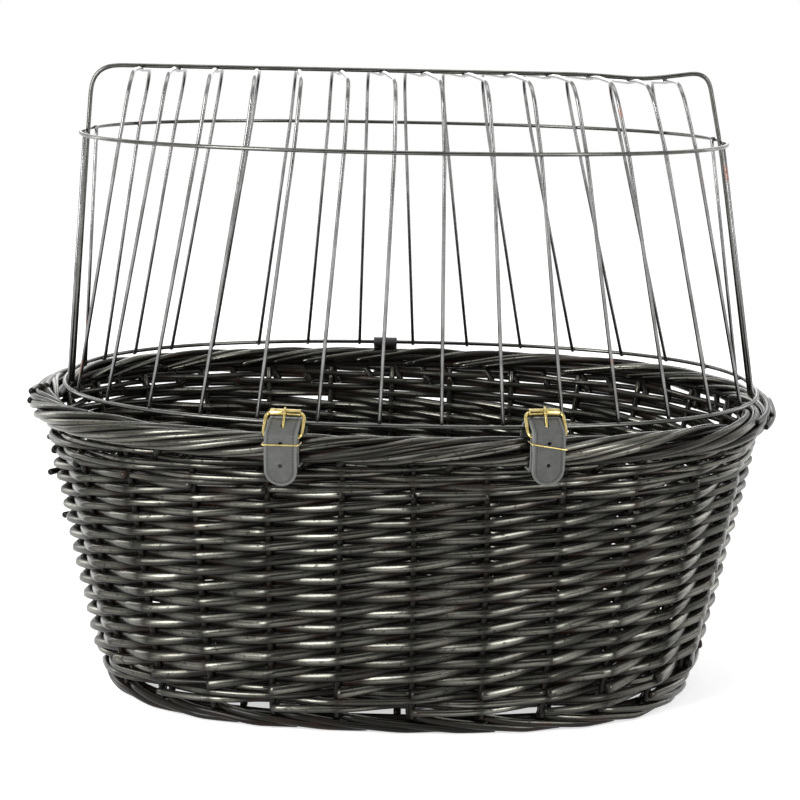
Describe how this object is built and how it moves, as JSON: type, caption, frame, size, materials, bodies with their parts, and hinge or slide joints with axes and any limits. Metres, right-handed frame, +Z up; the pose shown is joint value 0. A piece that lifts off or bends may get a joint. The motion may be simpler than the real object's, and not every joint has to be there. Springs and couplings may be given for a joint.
{
  "type": "dog bicycle basket",
  "caption": "Oval woven willow basket with a hinged wire cage lid, closed at the front by leather straps with brass roller buckles; carries a small dog on a bicycle.",
  "frame": {"origin": "middle of the basket at the floor, under the foot border", "axes": "+X along the length of the basket, +Y towards the hinge at the back, +Z up; the straps are on the -Y side"},
  "size_m": [0.536, 0.3939, 0.4364],
  "materials": {
    "willow": "satin",
    "steel_wire": "satin",
    "strap_leather": "satin",
    "loop_leather": "satin",
    "brass": "polished"
  },
  "bodies": {
    "basket": {"foot_border": "willow", "lower_wale": "willow", "side_wall": "willow", "upper_wale": "willow", "rim_border": "willow", "base_panel": "willow", "base_stick_cross_1": "willow", "base_stick_cross_2": "willow", "base_stick_cross_3": "willow", "base_stick_cross_4": "willow", "base_stick_cross_5": "willow", "base_stick_cross_6": "willow", "base_stick_cross_7": "willow", "base_stick_long_1": "willow", "base_stick_long_2": "willow", "base_stick_long_3": "willow", "hinge_loop": "loop_leather", "hinge_rivet": "brass", "chape_left": "strap_leather", "strap_rivet_left": "brass", "chape_right": "strap_leather", "strap_rivet_right": "brass"},
    "cover": {"cage_lower_ring": "steel_wire", "cage_upper_ring": "steel_wire", "cage_spine": "steel_wire", "cage_hoop_1": "steel_wire", "cage_hoop_2": "steel_wire", "cage_hoop_3": "steel_wire", "cage_hoop_4": "steel_wire", "cage_hoop_5": "steel_wire", "cage_hoop_6": "steel_wire", "cage_hoop_7": "steel_wire", "cage_hoop_8": "steel_wire", "cage_hoop_9": "steel_wire", "cage_hoop_10": "steel_wire", "cage_hoop_11": "steel_wire", "cage_hoop_12": "steel_wire", "cage_hoop_13": "steel_wire", "cage_hoop_14": "steel_wire", "cage_end_leg_left_front": "steel_wire", "cage_end_leg_left_rear": "steel_wire", "cage_end_leg_right_front": "steel_wire", "cage_end_leg_right_rear": "steel_wire"},
    "strap_left": {"billet_left": "strap_leather"},
    "buckle_left": {"buckle_frame_left": "brass"},
    "roller_left": {"buckle_roller_left": "brass"},
    "prong_left": {"buckle_prong_left": "brass"},
    "keeper_left": {"strap_keeper_left": "brass"},
    "strap_right": {"billet_right": "strap_leather"},
    "buckle_right": {"buckle_frame_right": "brass"},
    "roller_right": {"buckle_roller_right": "brass"},
    "prong_right": {"buckle_prong_right": "brass"},
    "keeper_right": {"strap_keeper_right": "brass"}
  },
  "joints": [
    {"name": "cover_hinge", "type": "hinge", "parent": "basket", "child": "cover", "pos_m": [-0.0146, 0.17477, 0.2126], "axis": [-1, 0, 0], "range_deg": [0, 105]},
    {"name": "buckle_swing_left", "type": "hinge", "parent": "basket", "child": "buckle_left", "pos_m": [-0.07661, -0.18989, 0.20682], "axis": [0.9905, -0.1373, 0], "range_deg": [0, 75]},
    {"name": "strap_release_left", "type": "hinge", "parent": "basket", "child": "strap_left", "pos_m": [-0.0724, -0.15948, 0.2], "axis": [-0.9905, 0.1373, 0], "range_deg": [0, 150], "deforming": ["billet_left"]},
    {"name": "prong_lift_left", "type": "hinge", "parent": "buckle_left", "child": "prong_left", "pos_m": [-0.07661, -0.18989, 0.20682], "axis": [0.9905, -0.1373, 0], "range_deg": [0, 55.1]},
    {"name": "roller_spin_left", "type": "hinge", "parent": "buckle_left", "child": "roller_left", "pos_m": [-0.07494, -0.17781, 0.2206], "axis": [0.9905, -0.1373, 0], "continuous": true},
    {"name": "keeper_slide_left", "type": "slide", "parent": "basket", "child": "keeper_left", "axis": [0, 0, 1], "range_m": [-0.003, 0]},
    {"name": "buckle_swing_right", "type": "hinge", "parent": "basket", "child": "buckle_right", "pos_m": [0.09463, -0.18696, 0.20982], "axis": [0.983, 0.1838, 0], "range_deg": [0, 75]},
    {"name": "strap_release_right", "type": "hinge", "parent": "basket", "child": "strap_right", "pos_m": [0.08899, -0.15679, 0.2], "axis": [-0.983, -0.1838, 0], "range_deg": [0, 150], "deforming": ["billet_right"]},
    {"name": "prong_lift_right", "type": "hinge", "parent": "buckle_right", "child": "prong_right", "pos_m": [0.09463, -0.18696, 0.20982], "axis": [0.983, 0.1838, 0], "range_deg": [0, 55.1]},
    {"name": "roller_spin_right", "type": "hinge", "parent": "buckle_right", "child": "roller_right", "pos_m": [0.09239, -0.17498, 0.2236], "axis": [0.983, 0.1838, 0], "continuous": true},
    {"name": "keeper_slide_right", "type": "slide", "parent": "basket", "child": "keeper_right", "axis": [0, 0, 1], "range_m": [-0.003, 0]}
  ],
  "couplings": [
    {"joint": "buckle_swing_left", "follows": "strap_release_left", "ratio": 0.5},
    {"joint": "prong_lift_left", "follows": "strap_release_left", "ratio": 0.3667},
    {"joint": "buckle_swing_right", "follows": "strap_release_right", "ratio": 0.5},
    {"joint": "prong_lift_right", "follows": "strap_release_right", "ratio": 0.3667}
  ]
}
